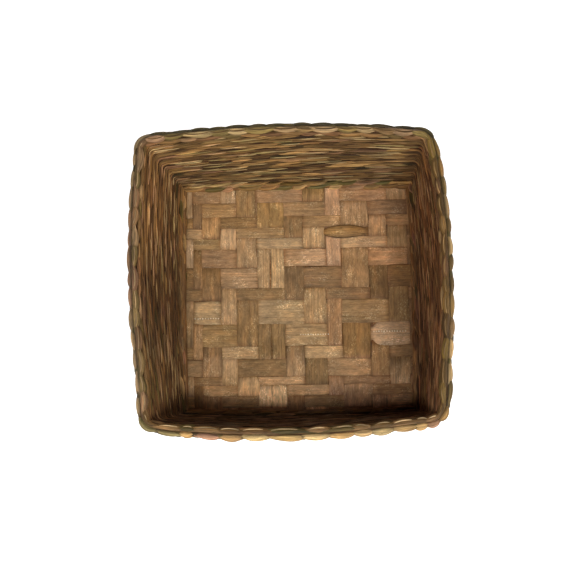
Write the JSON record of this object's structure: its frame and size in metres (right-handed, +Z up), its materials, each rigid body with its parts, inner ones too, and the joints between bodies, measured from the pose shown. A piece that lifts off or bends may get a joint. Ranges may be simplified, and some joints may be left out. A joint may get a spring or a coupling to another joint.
{
  "type": "woven storage basket",
  "caption": "Square open storage basket woven of straw, with a twill strip floor, twined walls that flare slightly, and a thick braided rim.",
  "frame": {"origin": "middle of the footprint of the whole basket, on the surface it stands on", "axes": "+X to the right and +Y to the far side in the picture's view, +Z up out of the open top"},
  "size_m": [0.302, 0.2984, 0.1169],
  "materials": {
    "bamboo_strip": "satin, dry split bamboo or straw strip",
    "straw_wale": "matt, dull olive brown twisted straw",
    "straw_course": "matt, brown twisted straw",
    "straw_rim": "satin, golden, olive and pinkish straw"
  },
  "bodies": {
    "root": {"strip_c01": "bamboo_strip", "strip_c02": "bamboo_strip", "strip_c03": "bamboo_strip", "strip_c04": "bamboo_strip", "strip_c05": "bamboo_strip", "strip_c06": "bamboo_strip", "strip_c07": "bamboo_strip", "strip_c08": "bamboo_strip", "strip_c09": "bamboo_strip", "strip_c10": "bamboo_strip", "strip_c11": "bamboo_strip", "strip_c12": "bamboo_strip", "strip_c13": "bamboo_strip", "strip_c14": "bamboo_strip", "strip_r01": "bamboo_strip", "strip_r02": "bamboo_strip", "strip_r03": "bamboo_strip", "strip_r04": "bamboo_strip", "strip_r05": "bamboo_strip", "strip_r06": "bamboo_strip", "strip_r07": "bamboo_strip", "strip_r08": "bamboo_strip", "strip_r09": "bamboo_strip", "strip_r10": "bamboo_strip", "strip_r11": "bamboo_strip", "strip_r12": "bamboo_strip", "strip_r13": "bamboo_strip", "strip_r14": "bamboo_strip", "strip_r15": "bamboo_strip", "strip_r16": "bamboo_strip", "foot_wale": "straw_wale", "wall_course_01": "straw_course", "wall_course_02": "straw_course", "wall_course_03": "straw_course", "wall_course_04": "straw_course", "wall_course_05": "straw_course", "wall_course_06": "straw_course", "wall_course_07": "straw_course", "wall_course_08": "straw_course", "wall_course_09": "straw_course", "wall_course_10": "straw_course", "wall_course_11": "straw_course", "wall_course_12": "straw_course", "wall_course_13": "straw_course", "wall_course_14": "straw_course", "wall_course_15": "straw_course", "rim_hoop": "straw_rim", "rim_row_outer": "straw_rim", "rim_row_inner": "straw_rim", "rim_row_top": "straw_rim"}
  },
  "joints": []
}
